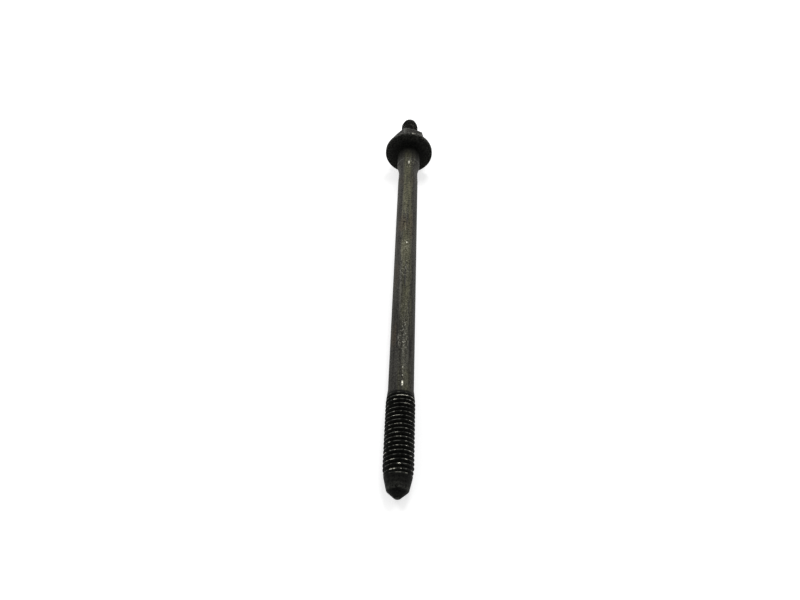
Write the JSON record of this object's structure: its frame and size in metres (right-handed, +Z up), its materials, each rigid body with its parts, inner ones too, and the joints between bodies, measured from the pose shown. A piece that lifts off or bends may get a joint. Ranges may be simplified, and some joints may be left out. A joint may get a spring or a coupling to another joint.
{
  "type": "double end stud",
  "caption": "Dark steel double end stud: long threaded pilot end, plain shank, locating collar, round flange, hexagon and a short threaded end.",
  "frame": {"origin": "middle of the resting box, on the surface that the stud lies on", "axes": "+Z up; +Y from the pilot tip towards the flange, hexagon and short thread, which lie 2.2 degrees higher because the stud rests on its flange rim and on its long thread; +X across the stud"},
  "size_m": [0.0222, 0.195, 0.0223],
  "materials": {
    "blackened_steel": "dark oiled oxide on steel, satin, drawn along the shank, with lighter worn thread crests"
  },
  "bodies": {
    "root": {"double_end_stud": "blackened_steel"}
  },
  "joints": []
}
